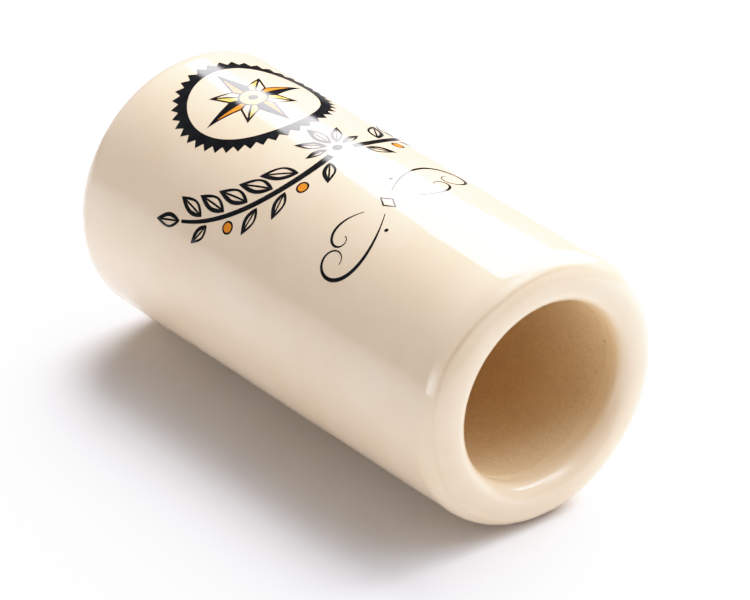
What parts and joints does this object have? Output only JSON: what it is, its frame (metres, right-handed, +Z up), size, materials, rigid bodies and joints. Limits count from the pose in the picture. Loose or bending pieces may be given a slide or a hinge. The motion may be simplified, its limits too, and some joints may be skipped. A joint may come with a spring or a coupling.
{
  "type": "guitar slide",
  "caption": "Glazed ceramic guitar slide: a thick-walled sleeve with rounded rims, a bare porous finger bore and fired-in ornament.",
  "frame": {"origin": "on the bore axis at mid-length", "axes": "+X along the bore; +Z up as the sleeve lies on its side, with the emblem on top; -Y is the side the wall faces the viewer from"},
  "size_m": [0.065, 0.032, 0.032],
  "materials": {
    "bisque": "bare fired clay, matt and slightly gritty",
    "ivory_glaze": "gloss ivory glaze with fine pinhole specks",
    "black_print": "black ceramic colour fired into the gloss glaze",
    "amber_print": "amber ceramic colour fired into the gloss glaze",
    "yellow_print": "yellow ceramic colour fired into the gloss glaze"
  },
  "bodies": {
    "root": {"bisque_tube": "bisque", "glaze_coat": "ivory_glaze", "emblem_line_print": "black_print", "emblem_amber_print": "amber_print", "emblem_yellow_print": "yellow_print", "flourish_print": "black_print"}
  },
  "joints": []
}
